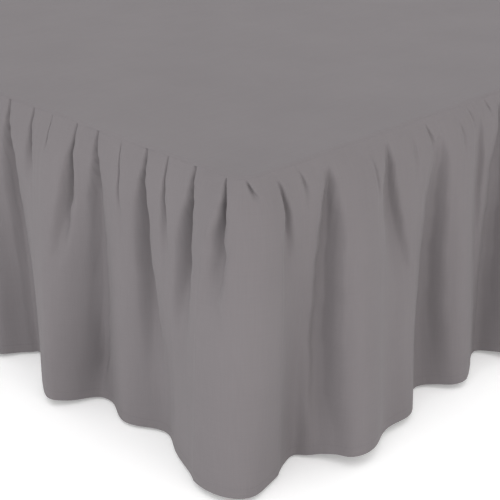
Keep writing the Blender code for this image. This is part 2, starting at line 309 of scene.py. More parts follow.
def woven_height(tree, across, along, threads):
    """The height of a plain weave: round threads that pass over and under each other in turn.

    With x and y counted in threads, a warp thread's back is the square root of sin(pi fract(x)), and it
    rises as sin(pi fract(y))."""
    x = calculate(tree, "MULTIPLY", across, threads)
    y = calculate(tree, "MULTIPLY", along, threads)
    part_x = calculate(tree, "FRACT", x)
    part_y = calculate(tree, "FRACT", y)
    hump_x = calculate(tree, "SINE", calculate(tree, "MULTIPLY", part_x, math.pi))
    hump_y = calculate(tree, "SINE", calculate(tree, "MULTIPLY", part_y, math.pi))
    both = calculate(tree, "ADD", calculate(tree, "FLOOR", x), calculate(tree, "FLOOR", y))
    checker = calculate(tree, "FLOORED_MODULO", both, 2.0)
    warp = calculate(tree, "MULTIPLY", calculate(tree, "POWER", hump_x, 0.5), hump_y)
    weft = calculate(tree, "MULTIPLY", calculate(tree, "POWER", hump_y, 0.5), hump_x)
    warp_on_top = calculate(tree, "MULTIPLY", warp, checker)
    other = calculate(tree, "SUBTRACT", 1.0, checker)
    return calculate(tree, "ADD", warp_on_top, calculate(tree, "MULTIPLY", weft, other))


def base_cover():
    """A cream woven cover with slubs along its threads and soft hollows in it, and dark dust cloth on the
    underside."""
    made, tree, shader = new_material("base_cover", BASE_ROUGHNESS)
    place = tree.nodes.new("ShaderNodeTexCoord").outputs["Object"]
    parts = split(tree, place)
    run = calculate(tree, "ADD", parts["X"], parts["Y"])
    weave = woven_height(tree, run, parts["Z"], BASE_THREADS_PER_METRE)
    slub_place = stretched(tree, place, (1.0, 1.0, BASE_SLUB_STRETCH))
    slubs = noise(tree, slub_place, BASE_SLUBS_PER_METRE, detail=4.0, roughness=0.6)
    cover = blend_colours(tree, ramp(tree, slubs, *BASE_TONES), BASE_COLOUR, BASE_SHADE)
    inner, outer = DUST_CLOTH_EDGE
    under = ramp(tree, parts["Z"], BASE_LOW[2] + inner, BASE_LOW[2] + outer, 1.0, 0.0)
    tree.links.new(blend_colours(tree, under, cover, DUST_CLOTH), shader.inputs["Base Color"])
    shader.inputs["Sheen Weight"].default_value = BASE_SHEEN
    shader.inputs["Sheen Roughness"].default_value = BASE_SHEEN_ROUGHNESS
    shader.inputs["Specular IOR Level"].default_value = BASE_SPECULAR
    soft = bump(tree, noise(tree, place, BASE_HOLLOWS_PER_METRE), *BASE_HOLLOW_BUMP)
    tree.links.new(bump(tree, weave, *BASE_WEAVE_BUMP, under=soft), shader.inputs["Normal"])
    return made


base_mesh = closed_poles(grid_mesh("base_cover", base_surface(), closed=True))
add_piece("base_cover", base_mesh, base_cover(), "base_cloth", "base_box")


# ---------------------------------------------------------------------------------------------------------
# The platform. One flat panel of grey polycotton that lies on the base under the mattress. It turns down
# over the edge on both sides and at the foot, to the seam where the frill is sewn on, and its head edge is
# hemmed.
PLATFORM_LOW, PLATFORM_HIGH = (np.array(corner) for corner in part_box("platform"))
DECK_HEIGHT = PLATFORM_HIGH[2]
HALF_WIDTH = PLATFORM_HIGH[0]
FOOT_Y = PLATFORM_LOW[1]
HEAD_Y = PLATFORM_HIGH[1]
CORNER_RADIUS = 0.030
TURN_RADIUS = 0.008
SEAM_DEPTH = 0.0028
SEAM_ANGLE = math.acos(1.0 - SEAM_DEPTH / TURN_RADIUS)
SEAM_INSET = TURN_RADIUS * (1.0 - math.sin(SEAM_ANGLE))
CLOTH = 0.0010
TURN_ROWS = 9
CRISP_SHARE = 0.99
INNER_SPACING = 0.011
EDGE_SPACING = 0.0035
EDGE_BAND = 0.060
SKIRT_COLOUR = (0.196, 0.181, 0.187)
SKIRT_SHADE = (0.180, 0.166, 0.172)
SKIRT_ROUGHNESS = 0.88
SKIRT_SPECULAR = 0.12
SKIRT_SHEEN = 0.06
SKIRT_SHEEN_ROUGHNESS = 0.45
THREADS_PER_METRE = 2100.0
THREAD_BUMP = (0.00008, 0.4)
WEAVE_SHARE = 0.6
SLUBS_ACROSS = 900.0
SLUBS_ALONG = 22.0
SLUB_SHARE = 0.6
CLOUDS_PER_METRE = 7.0
SKIRT_TONES = (0.36, 0.64)
PUCKERS_ACROSS = 105.0
PUCKERS_ALONG = 14.0
PUCKER_RUN = (0.004, 0.030)
PUCKER_BUMP = (0.0011, 0.8)
CREASES_ACROSS = 34.0
CREASES_ALONG = 5.0
CREASE_BUMP = (0.0016, 0.55)
HEM_DEPTH = 0.013
HEM_STEP = (0.0004, 0.0012)
HEM_BUMP = (0.0003, 0.5)
STITCH_PITCH = 0.0028
STITCH_SHARE = (0.74, 0.80)
STITCH_WIDTH = (0.0003, 0.0007)
STITCH_COLOUR = (0.13, 0.118, 0.124)
STITCH_TINT = 0.25
STITCH_DIP = 0.7
STITCH_RISE = 0.5
SLACK = 0.0004
SLACK_WAVE = 0.9
SLACK_WAVES = (3, 9)  # a seed and how many waves, as in every such pair below
SLACK_SIZE = 0.16
SLACK_RUN = 0.070
SEAM_START = 0.004


def smoothstep(x):
    """0 below 0, 1 above 1, and an S between them."""
    x = np.clip(x, 0.0, 1.0)
    return x * x * (3.0 - 2.0 * x)


def turned_edge(share):
    """The platform's turned edge: distance in from its outer line and depth below its face, along an arc."""
    angle = share * SEAM_ANGLE
    return TURN_RADIUS * (1.0 - np.sin(angle)), TURN_RADIUS * (1.0 - np.cos(angle))


def waves(seed, count, *arguments):
    """A smooth random field, mostly between -1 and 1: a sum of sine waves of the arguments, each scaled to
    its own grain, with random directions and phases."""
    rng = np.random.default_rng(seed)
    total = 0.0
    for _ in range(count):
        pull = rng.normal(size=len(arguments))
        phase = rng.uniform(0.0, 2 * math.pi)
        total = total + np.sin(sum(p * a for p, a in zip(pull, arguments)) + phase)
    return total / math.sqrt(count)


def grid_lines(low, high, turn_low, turn_high):
    """Lines across the panel: close together in the band inside a turned edge, wider apart in the middle."""
    band = np.arange(0.0, EDGE_BAND, EDGE_SPACING)
    start = low + band if turn_low else np.array([low])
    stop = high - band[::-1] if turn_high else np.array([high])
    count = round((stop[0] - start[-1]) / INNER_SPACING)
    middle = np.linspace(start[-1], stop[0], count + 1)[1:-1]
    return np.concatenate([start, middle, stop])


def platform_surface():
    """The panel as a grid bent over its edges, with its two UV maps.

    Inside the turn's start the grid is flat but for a slack of soft waves, under a millimetre. The turn's
    rows are carried round the plan: a point past the corner's centre keeps its larger distance from it, and
    its direction is set by both, so squares of the grid become rings. The last row but one lies close to the
    edge and keeps it crisp."""
    flat_x = HALF_WIDTH - TURN_RADIUS
    flat_y = FOOT_Y + TURN_RADIUS
    turn = np.append(np.arange(1, TURN_ROWS) / TURN_ROWS, (CRISP_SHARE, 1.0))
    inner_x = grid_lines(-flat_x, flat_x, True, True)
    inner_y = grid_lines(flat_y, HEAD_Y, True, False)
    x = np.concatenate([-flat_x - turn[::-1] * TURN_RADIUS, inner_x, flat_x + turn * TURN_RADIUS])
    y = np.concatenate([flat_y - turn[::-1] * TURN_RADIUS, inner_y])
    x, y = np.meshgrid(x, y, indexing="xy")
    centre_x = HALF_WIDTH - CORNER_RADIUS
    centre_y = FOOT_Y + CORNER_RADIUS
    over_x = np.abs(x) - centre_x
    over_y = centre_y - y
    corner = (over_x > 0) & (over_y > 0)
    ring = np.maximum(over_x, over_y)
    length = np.where(corner, np.hypot(over_x, over_y), 1.0)
    plan_ring = CORNER_RADIUS - TURN_RADIUS
    share = np.clip((ring - plan_ring) / TURN_RADIUS, 0.0, 1.0)
    inward, down = turned_edge(share)
    moved = np.where(share > 0, CORNER_RADIUS - inward, ring)
    unit_x = np.where(corner, over_x / length, (over_x >= over_y).astype(float))
    unit_y = np.where(corner, over_y / length, (over_x < over_y).astype(float))
    step = moved - ring
    px = np.where(corner, np.sign(x) * (centre_x + unit_x * moved), x + np.sign(x) * unit_x * step)
    py = np.where(corner, centre_y - unit_y * moved, y - unit_y * step)
    from_seam = np.maximum(CORNER_RADIUS - ring, 0.0) + (1.0 - share) * SEAM_START
    slack = SLACK * (SLACK_WAVE * waves(*SLACK_WAVES, px / SLACK_SIZE, py / SLACK_SIZE) - 1.0)
    z = DECK_HEIGHT - down + slack * smoothstep((plan_ring - ring) / SLACK_RUN)
    station = np.where(over_x > over_y, np.sign(x) * (HALF_WIDTH + y - FOOT_Y), x)
    cloth = np.stack([x, y], axis=2)
    seam = np.stack([station, from_seam], axis=2)
    return np.stack([px, py, z], axis=2), {"cloth": cloth, "seam": seam}


def mixed(tree, first, second, share):
    """A share of the first value and the rest of the second."""
    part = calculate(tree, "MULTIPLY", first, share)
    return calculate(tree, "ADD", part, calculate(tree, "MULTIPLY", second, 1.0 - share))


def skirt_cloth(name, hem_at):
    """The skirt's grey polycotton: a fine plain weave with uneven threads, puckers that run away from the
    seam, soft creases, and a doubled hem with its line of stitches along the edge at hem_at."""
    made, tree, shader = new_material(name, SKIRT_ROUGHNESS)
    cloth = tree.nodes.new("ShaderNodeUVMap")
    cloth.uv_map = "cloth"
    seam = tree.nodes.new("ShaderNodeUVMap")
    seam.uv_map = "seam"
    cloth, seam = cloth.outputs["UV"], seam.outputs["UV"]
    threads = split(tree, cloth)
    weave = woven_height(tree, threads["X"], threads["Y"], THREADS_PER_METRE)
    warp_place = stretched(tree, cloth, (SLUBS_ACROSS, SLUBS_ALONG, 1.0))
    weft_place = stretched(tree, cloth, (SLUBS_ALONG, SLUBS_ACROSS, 1.0))
    warp_slubs = noise(tree, warp_place, 1.0, detail=3.0, roughness=0.6)
    weft_slubs = noise(tree, weft_place, 1.0, detail=3.0, roughness=0.6)
    slubs = calculate(tree, "MULTIPLY", calculate(tree, "ADD", warp_slubs, weft_slubs), 0.5)
    clouds = noise(tree, cloth, CLOUDS_PER_METRE, detail=3.0)
    tone = mixed(tree, slubs, clouds, SLUB_SHARE)
    colour = blend_colours(tree, ramp(tree, tone, *SKIRT_TONES), SKIRT_SHADE, SKIRT_COLOUR)
    pucker_place = stretched(tree, seam, (PUCKERS_ACROSS, PUCKERS_ALONG, 1.0))
    puckers = noise(tree, pucker_place, 1.0, detail=2.0, roughness=0.55)
    near_seam = ramp(tree, split(tree, seam)["Y"], *PUCKER_RUN, 1.0, 0.0)
    pucker_height = calculate(tree, "MULTIPLY", puckers, near_seam)
    crease_place = stretched(tree, cloth, (CREASES_ACROSS, CREASES_ALONG, 1.0))
    creases = noise(tree, crease_place, 1.0, detail=4.0, roughness=0.6)
    normal = bump(tree, creases, *CREASE_BUMP)
    normal = bump(tree, pucker_height, *PUCKER_BUMP, under=normal)
    above = calculate(tree, "SUBTRACT", hem_at, threads["Y"])
    from_line = calculate(tree, "ABSOLUTE", calculate(tree, "SUBTRACT", above, HEM_DEPTH))
    on_line = ramp(tree, from_line, *STITCH_WIDTH, 1.0, 0.0)
    dash = calculate(tree, "FRACT", calculate(tree, "MULTIPLY", threads["X"], 1 / STITCH_PITCH))
    stitch = calculate(tree, "MULTIPLY", on_line, ramp(tree, dash, *STITCH_SHARE, 1.0, 0.0))
    step_start, step_end = HEM_STEP
    step = ramp(tree, above, HEM_DEPTH + step_start, HEM_DEPTH + step_end, 1.0, 0.0)
    dip = calculate(tree, "SUBTRACT", step, calculate(tree, "MULTIPLY", on_line, STITCH_DIP))
    height = calculate(tree, "ADD", dip, calculate(tree, "MULTIPLY", stitch, STITCH_RISE))
    normal = bump(tree, height, *HEM_BUMP, under=normal)
    tint = calculate(tree, "MULTIPLY", stitch, STITCH_TINT)
    colour = blend_colours(tree, tint, colour, STITCH_COLOUR)
    fine = mixed(tree, weave, slubs, WEAVE_SHARE)
    tree.links.new(colour, shader.inputs["Base Color"])
    tree.links.new(bump(tree, fine, *THREAD_BUMP, under=normal), shader.inputs["Normal"])
    shader.inputs["Specular IOR Level"].default_value = SKIRT_SPECULAR
    shader.inputs["Sheen Weight"].default_value = SKIRT_SHEEN
    shader.inputs["Sheen Roughness"].default_value = SKIRT_SHEEN_ROUGHNESS
    return made


def add_cloth_thickness(piece):
    """Gives an open sheet its thickness, on the side towards the base."""
    solidify = piece.modifiers.new("cloth", "SOLIDIFY")
    solidify.thickness = CLOTH
    solidify.offset = -1.0


points, uvs = platform_surface()
uvs = {uv_name: values[:, ::-1] for uv_name, values in uvs.items()}
platform_mesh = grid_mesh("platform_cloth", points[:, ::-1], uvs=uvs)
platform_finish = skirt_cloth("platform_cloth", HEAD_Y)
platform = add_piece("platform_cloth", platform_mesh, platform_finish, "skirt_cloth", "platform")
add_cloth_thickness(platform)


# ---------------------------------------------------------------------------------------------------------
# The frill. Four equal cut lengths of the same cloth, joined end to end, drawn up on a gathering thread and
# sewn to the platform's turned edge. It hangs in uneven folds to just above the floor.
CUT_LENGTHS = 4
END_MARGIN = 0.015
FULLNESS = 1.30
HEM_CLEARANCE = 0.003
TUCK = 0.0008
FRILL_ROWS = 78
ROW_CROWDING = 2.0
CRISP_HEM_SHARE = 0.9994
COLUMNS_A_GATHER = 20
CROWDING = 0.84
LEAST_SPACING = 0.004

CORNER_RUN = math.pi / 2 * CORNER_RADIUS
FOOT_RUN = 2 * (HALF_WIDTH - CORNER_RADIUS)
SIDE_RUN = HEAD_Y - FOOT_Y - CORNER_RADIUS
EDGE_LENGTH = 2 * SIDE_RUN + 2 * CORNER_RUN + FOOT_RUN
LEFT_CORNER = SIDE_RUN + CORNER_RUN / 2
RIGHT_CORNER = EDGE_LENGTH - LEFT_CORNER

# How the cloth hangs below the seam: its puff, the way its folds open, and how near the base it comes
PUFF = 0.0220
PUFF_LEFT_AT_HEM = 0.15
PUFF_RELAXED = 0.85
UNEVEN_PUFF = 0.22
PUFF_WAVES = (22, 7)
PUFF_SIZE = 0.035
FOLD_OPENING = 1.4
UNEVEN_OPENING = 0.22
OPENING_WAVES = (21, 7)
OPENING_SIZE = 0.11
DEEPEST = -0.0020
DEEPER_WHERE_SEWN = 0.0025
DEEPEST_EASE = 0.0012
EASE_WHERE_FREE = 1.1
SEWN_RUN = 0.004
LIE_AGAINST = 0.00008
LIE_RUN = 0.0010
FREE_RUN = 0.008
UNEVEN_HEM = 0.0006
HEM_WAVES = (25, 5)
HEM_SIZE = 0.05

# Fine unevenness of the cloth: how deep, and its size along the seam and down
RIPPLE = 0.0005
RIPPLE_WAVES = (23, 16)
RIPPLE_SIZE = (0.0042, 0.6)
RIPPLE_LOW_DOWN = 0.25
RIPPLE_RUN = 0.22
PUCKER = 0.0004
PUCKER_WAVES = (26, 20)
PUCKER_SIZE = (0.0017, 0.030)
PUCKER_FADE = 0.022
DENT = 0.0011
DENT_WAVES = (24, 12)
DENT_SIZE = (0.030, 0.16)

# How a crease opens from its tip, how round its two sides are on a wide and on a narrow one, the soft hollow
# round it, its lip, how the stiff hem smooths it, and how it wanders
TIP_SHARE = 0.16
LOW_TIP_SHARE = 25.0
TIP_RUN = 0.0936
TIP_RISE = 0.006
LOW_TIP_RISE = 2.2
RELAX_FROM = 0.30
HEM_STIFFNESS = 0.5
STIFF_FROM = 0.82
GENTLE_POWER = 2.2
GENTLE_POWER_IF_NARROW = 3.2
STEEP_POWER = 4.6
STEEP_POWER_IF_NARROW = 2.6
WIDENING = 2.0
SOFT_SHARE = 0.03
SOFT_SHARE_LOW_DOWN = 0.13
SOFT_RUN = 0.12
HOLLOW = 0.020
HOLLOW_OF_GENTLE = 0.7
REACH_OF_CREASE = 3.2
LIP = 0.0025
LIP_FULL_DEPTH = 0.018
LIP_AT = 1.2
LIP_WIDTH = 0.8
WANDER = 0.0009
WANDER_SINES = ((1.0, 29.0, 41.0), (0.6, 67.0, 97.0))  # a size, and how fast it turns down and along
WANDER_RUN = 0.1
STEP_ASIDE = 0.012
STEP_RUN = 0.05
NARROW = 0.015
WIDE = 0.030

# The hem's folds round the right foot corner, from the foot towards the head. Each row is a thread of the
# cloth: its station at the seam and at the hem, measured from the corner, and how far the hem stands out
# there. Elsewhere the folds are uneven ones of the same size, but for one round the left foot corner.
HemPoint = namedtuple("HemPoint", "top hem reach")
CORNER_HEM = (
    HemPoint(-0.501, -0.470, 0.052),  # crest
    HemPoint(-0.480, -0.457, 0.022),
    HemPoint(-0.445, -0.431, 0.001),  # valley
    HemPoint(-0.380, -0.353, 0.050),
    HemPoint(-0.343, -0.307, 0.074),  # crest
    HemPoint(-0.300, -0.285, 0.050),
    HemPoint(-0.276, -0.272, 0.022),
    HemPoint(-0.255, -0.254, 0.007),  # valley
    HemPoint(-0.203, -0.197, 0.029),  # crest
    HemPoint(-0.138, -0.135, 0.003),  # valley
    HemPoint(-0.095, -0.088, 0.029),
    HemPoint(-0.051, -0.031, 0.054),
    HemPoint(-0.007, -0.002, 0.070),  # crest
    HemPoint(0.038, 0.016, 0.036),
    HemPoint(0.080, 0.069, 0.011),  # valley
    HemPoint(0.110, 0.080, 0.029),
    HemPoint(0.142, 0.095, 0.061),
    HemPoint(0.162, 0.108, 0.088),
    HemPoint(0.185, 0.131, 0.092),  # crest
    HemPoint(0.239, 0.202, 0.067),  # valley
    HemPoint(0.264, 0.235, 0.070),  # crest
    HemPoint(0.329, 0.313, 0.025),  # valley
    HemPoint(0.391, 0.370, 0.070),  # crest
    HemPoint(0.425, 0.411, 0.051),
    HemPoint(0.473, 0.461, 0.021),  # valley
    HemPoint(0.536, 0.496, 0.086),  # crest
)
SOFTENING = ((-0.012, 0.15), (-0.006, 0.22), (0.0, 0.26), (0.006, 0.22), (0.012, 0.15))
FOLD_SEED = 7
FOLD_PITCH = 0.155
UNEVEN_PITCH = 0.18
CREST_SHARE = (0.40, 0.62)
CREST_REACH = (0.050, 0.082)
CREST_SHIFT = 0.012
VALLEY_REACH = (0.008, 0.026)
VALLEY_SHIFT = 0.010
LOBE_SHIFT = 0.002
LOBE_REACH = 0.066
BEFORE_LOBE = 0.095
AFTER_LOBE = 0.110

# Each gather is a crease: its station from the right foot corner, how far below the seam it starts, the
# share of the drop that it runs down, the widths of its steep and its gentle side, both negative where it
# faces the other way, how deep it is, and how far it drifts along the edge by its end. Elsewhere every third
# one is long and deep.
Gather = namedtuple("Gather", "top start down steep gentle depth drift")
CORNER_GATHERS = (
    Gather(-0.454, 0.000, 1.60, 0.007, 0.013, 0.044, -0.002),
    Gather(-0.397, 0.000, 0.28, 0.004, 0.012, 0.015, -0.004),
    Gather(-0.355, 0.000, 0.12, 0.002, 0.004, 0.006, 0.000),
    Gather(-0.301, 0.000, 0.56, 0.005, 0.011, 0.022, -0.044),
    Gather(-0.258, 0.000, 1.30, 0.006, 0.013, 0.048, -0.056),
    Gather(-0.210, 0.001, 0.34, 0.002, 0.003, 0.004, 0.012),
    Gather(-0.162, 0.000, 0.85, 0.006, 0.014, 0.028, -0.004),
    Gather(-0.123, 0.000, 0.42, 0.004, 0.008, 0.010, 0.008),
    Gather(-0.074, 0.000, 0.66, 0.006, 0.015, 0.028, -0.026),
    Gather(-0.022, 0.001, 0.54, 0.003, 0.010, 0.020, -0.016),
    Gather(0.003, 0.001, 0.07, 0.005, 0.010, 0.008, 0.002),
    Gather(0.041, 0.006, 0.42, 0.006, 0.012, 0.011, -0.010),
    Gather(0.080, 0.004, 0.14, 0.006, 0.010, 0.005, -0.008),
    Gather(0.131, 0.012, 1.90, 0.006, 0.026, 0.026, 0.044),
    Gather(0.199, 0.010, 0.30, 0.004, 0.008, 0.005, -0.004),
    Gather(0.242, 0.010, 0.66, 0.007, 0.026, 0.015, 0.034),
    Gather(0.286, 0.010, 0.24, 0.005, 0.012, 0.004, -0.008),
    Gather(0.322, 0.004, 0.12, 0.006, 0.012, 0.006, 0.004),
    Gather(0.347, 0.022, 1.60, 0.009, 0.025, 0.020, 0.000),
    Gather(0.386, 0.008, 0.20, 0.006, 0.010, 0.004, -0.008),
    Gather(0.418, 0.004, 0.09, 0.005, 0.010, 0.004, -0.005),
    Gather(0.440, 0.016, 0.85, 0.008, 0.026, 0.011, -0.004),
    Gather(0.462, 0.002, 0.08, 0.005, 0.010, 0.004, 0.002),
    Gather(0.497, 0.010, 1.70, 0.007, 0.024, 0.022, 0.000),
    Gather(0.550, 0.008, 0.36, 0.006, 0.014, 0.010, -0.008),
)
GATHER_SEED = 11
GATHER_PITCH = 0.047
FACING_SHARE = 0.7
LONG_EVERY = 3
LONG_STEEP = (0.006, 0.008)
LONG_GENTLE = (0.010, 0.020)
LONG_DEPTH = (0.026, 0.040)
LONG_RUN = (1.2, 1.6)
SHORT_RUN = (0.18, 0.60)
SHORT_STEEP = (0.004, 0.007)
SHORT_GENTLE_SHARE = (1.6, 2.6)
SHORT_DEPTH = (0.008, 0.022)
SHORT_DRIFT = (-0.012, 0.012)


def monotone(knots, values, at):
    """A smooth curve through the knots that never overshoots: a cubic on each span, whose slope at a knot is
    the harmonic mean of the slopes on both sides of it, or nothing at a crest and a valley."""
    step = np.diff(knots)
    slope = np.diff(values) / step
    turning = slope[:-1] * slope[1:]
    total = np.where(turning > 0, slope[:-1] + slope[1:], 1.0)
    inner = np.where(turning > 0, 2.0 * turning / total, 0.0)
    tangent = np.concatenate([slope[:1], inner, slope[-1:]])
    i = np.clip(np.searchsorted(knots, at) - 1, 0, len(knots) - 2)
    x = np.clip((at - knots[i]) / step[i], 0.0, 1.0)
    rise = values[i + 1] - values[i]
    bend = x * (1.0 - x) * (tangent[i] * (1.0 - x) - tangent[i + 1] * x)
    return values[i] + rise * x * x * (3.0 - 2.0 * x) + step[i] * bend


def softened(knots, values, at):
    """The monotone curve with its bends eased: a weighted mean of it a little before and after."""
    total = 0.0
    for offset, weight in SOFTENING:
        total = total + weight * monotone(knots, values, np.clip(at + offset, knots[0], knots[-1]))
    return total


def plain_hem(start, end, rng):
    """Uneven hem folds over a stretch of the edge, a valley and a crest each, with valleys at both ends."""
    count = round((end - start) / FOLD_PITCH)
    valleys = np.linspace(start, end, count + 1)
    valleys[1:-1] += rng.uniform(-UNEVEN_PITCH, UNEVEN_PITCH, count - 1) * FOLD_PITCH
    points = []
    for low, high in zip(valleys[:-1], valleys[1:]):
        crest = low + (high - low) * rng.uniform(*CREST_SHARE)
        low_hem = low + rng.uniform(-VALLEY_SHIFT, VALLEY_SHIFT)
        points.append(HemPoint(low, low_hem, rng.uniform(*VALLEY_REACH)))
        crest_hem = crest + rng.uniform(-CREST_SHIFT, CREST_SHIFT)
        points.append(HemPoint(crest, crest_hem, rng.uniform(*CREST_REACH)))
    points[0] = points[0]._replace(hem=start)
    points.append(HemPoint(end, end, points[0].reach))
    return points


def all_hem_points():
    """The hem's folds from the head of the left side to the head of the right side, with one round lobe at
    the left foot corner."""
    rng = np.random.default_rng(FOLD_SEED)
    corner = [HemPoint(p.top + RIGHT_CORNER, p.hem + RIGHT_CORNER, p.reach) for p in CORNER_HEM]
    lobe = HemPoint(LEFT_CORNER, LEFT_CORNER + LOBE_SHIFT, LOBE_REACH)
    left_side = plain_hem(0.0, LEFT_CORNER - BEFORE_LOBE, rng)
    foot = plain_hem(LEFT_CORNER + AFTER_LOBE, corner[0].top - FOLD_PITCH / 3, rng)
    right_side = plain_hem(corner[-1].top + FOLD_PITCH / 2, EDGE_LENGTH, rng)
    return left_side + [lobe] + foot + corner + right_side


def all_gathers():
    """Gathers at an uneven pitch, one in three of them long, but for the right foot corner's own list.

    None is kept beside an end of a cut length."""
    rng = np.random.default_rng(GATHER_SEED)
    first = RIGHT_CORNER + CORNER_GATHERS[0].top
    last = RIGHT_CORNER + CORNER_GATHERS[-1].top
    gathers = [gather._replace(top=gather.top + RIGHT_CORNER) for gather in CORNER_GATHERS]
    for start, end in ((0.0, first), (last, EDGE_LENGTH)):
        count = round((end - start) / GATHER_PITCH)
        for k in range(1, count):
            top = start + (end - start) * (k + rng.uniform(-UNEVEN_PITCH, UNEVEN_PITCH)) / count
            facing = 1.0 if rng.uniform() < FACING_SHARE else -1.0
            if k % LONG_EVERY == 0:
                steep = facing * rng.uniform(*LONG_STEEP)
                gentle = facing * rng.uniform(*LONG_GENTLE)
                depth = rng.uniform(*LONG_DEPTH)
                down = rng.uniform(*LONG_RUN)
                drift = 0.0
            else:
                down = rng.uniform(*SHORT_RUN)
                steep = facing * rng.uniform(*SHORT_STEEP)
                gentle = steep * rng.uniform(*SHORT_GENTLE_SHARE)
                depth = rng.uniform(*SHORT_DEPTH)
                drift = rng.uniform(*SHORT_DRIFT)
            gathers.append(Gather(top, 0.0, down, steep, gentle, depth, drift))
    ends = np.arange(CUT_LENGTHS + 1) * EDGE_LENGTH / CUT_LENGTHS
    return sorted(gather for gather in gathers if np.abs(ends - gather.top).min() > END_MARGIN)


HEM_POINTS = all_hem_points()
GATHERS = all_gathers()


def edge_point(station, out):
    """The plan position at a station, standing out from the platform's outer line: a straight side, a
    quarter arc, the straight foot, a quarter arc and a straight side."""
    from_middle = station - EDGE_LENGTH / 2
    run = np.abs(from_middle)
    along_foot = np.minimum(run, FOOT_RUN / 2)
    turn = np.clip((run - FOOT_RUN / 2) / CORNER_RADIUS, 0.0, math.pi / 2)
    along_side = np.maximum(run - FOOT_RUN / 2 - CORNER_RUN, 0.0)
    x = np.sign(from_middle) * (along_foot + (CORNER_RADIUS + out) * np.sin(turn))
    y = FOOT_Y + CORNER_RADIUS - (CORNER_RADIUS + out) * np.cos(turn) + along_side
    return x, y


def narrowness(gather):
    """One for a gather pinched narrow, easing to nothing for a wide one."""
    return smoothstep((WIDE - abs(gather.gentle)) / (WIDE - NARROW))


def crease_drift(gather, down):
    """How far a crease has moved along the edge on its way down.

    A narrow one steps towards its steep side as 1 - exp(-d / L) where the cloth puffs out. Every crease
    bends away as the square of the share of its length, and wanders a little on two sine waves."""
    step = math.copysign(STEP_ASIDE, gather.steep) * narrowness(gather) * (1.0 - np.exp(-down / STEP_RUN))
    bend = gather.drift * np.minimum(down / gather.down, 1.0) ** 2
    wander = sum(size * np.sin(fall * down + along * gather.top) for size, fall, along in WANDER_SINES)
    return step + bend + WANDER * wander * smoothstep(down / WANDER_RUN)


def thread_labels(start, end, down):
    """The threads that the frill's columns follow, row by row: they keep to the creases and crowd in there.

    Where two creases draw together, their columns stay a little apart. Between one crease and the next,
    column u of 0 to 1 lies at u - c sin(2 pi u) / (2 pi) of the way."""
    inside = [gather for gather in GATHERS if start < gather.top < end]
    stops = [np.full_like(down, start)]
    stops += [gather.top + crease_drift(gather, down) for gather in inside]
    stops = np.concatenate([*stops, np.full_like(down, end)], axis=1)
    apart = LEAST_SPACING * np.arange(stops.shape[1])
    stops = np.maximum.accumulate(stops - apart, axis=1)
    stops = np.minimum(stops, end - apart[-1]) + apart
    u = np.arange(COLUMNS_A_GATHER) / COLUMNS_A_GATHER
    u = u - CROWDING * np.sin(2 * math.pi * u) / (2 * math.pi)
    between = stops[:, :-1, None] + np.diff(stops, axis=1)[:, :, None] * u
    return np.concatenate([between.reshape(len(down), -1), stops[:, -1:]], axis=1)


def crease_fields(label, down, below):
    """How far the creases take the cloth back towards the base, and how far they shift it along the edge.

    A crease is a thin tip where it starts, opens below that, and fades towards its end and into the stiff
    hem. Across it, the depth falls off as exp(-|t|^n), t being the distance from its bottom over that side's
    width. On a wide crease n is higher on the steep side, so that the cloth stays back for a way and then
    comes out at once. On a narrow one the two sides are more alike, and the lip of the steep side leans
    over. The steep side widens as the crease fades, and a wide soft hollow deepens round it on the way down,
    wider on the gentle side."""
    taken = np.zeros_like(label)
    shift = np.zeros_like(label)
    for gather in GATHERS:
        facing = math.copysign(1.0, gather.steep)
        narrow = narrowness(gather)
        gentle_hollow = HOLLOW + HOLLOW_OF_GENTLE * abs(gather.gentle)
        aside = label - gather.top - crease_drift(gather, down)
        near = np.abs(aside).min(axis=0) < REACH_OF_CREASE * gentle_hollow
        part = aside[:, near]
        run = np.maximum(below[:, near] - gather.start, 0.0)
        rise = 1.0 - np.exp(-run / (TIP_RISE + LOW_TIP_RISE * gather.start))
        relaxed = smoothstep((down / gather.down - RELAX_FROM) / (1.0 - RELAX_FROM))
        stiff = smoothstep((down - STIFF_FROM) / (1.0 - STIFF_FROM))
        fade = (1.0 - relaxed) * (1.0 - HEM_STIFFNESS * stiff)
        tip = TIP_SHARE + LOW_TIP_SHARE * gather.start
        opening = tip + (1.0 - tip) * smoothstep(run / TIP_RUN)
        soft = SOFT_SHARE + (SOFT_SHARE_LOW_DOWN - SOFT_SHARE) * smoothstep(run / SOFT_RUN)
        gentle_power = GENTLE_POWER + (GENTLE_POWER_IF_NARROW - GENTLE_POWER) * narrow
        gentle = np.exp(-(np.abs(part / (gather.gentle * opening)) ** gentle_power))
        steep_width = gather.steep * opening * (1.0 + WIDENING * relaxed)
        steep_power = STEEP_POWER + (STEEP_POWER_IF_NARROW - STEEP_POWER) * narrow
        steep = np.exp(-(np.abs(part / steep_width) ** steep_power))
        on_gentle = part * facing < 0
        groove = np.where(on_gentle, gentle, steep)
        hollow = np.exp(-((part / np.where(on_gentle, gentle_hollow, HOLLOW)) ** 2))
        taken[:, near] += gather.depth * rise * fade * ((1.0 - soft) * groove + soft * hollow)
        lean = facing * LIP * narrow * min(gather.depth / LIP_FULL_DEPTH, 1.0) * rise * fade * opening
        shift[:, near] -= lean * np.exp(-(((part / steep_width - LIP_AT) / LIP_WIDTH) ** 2))
    return taken, shift


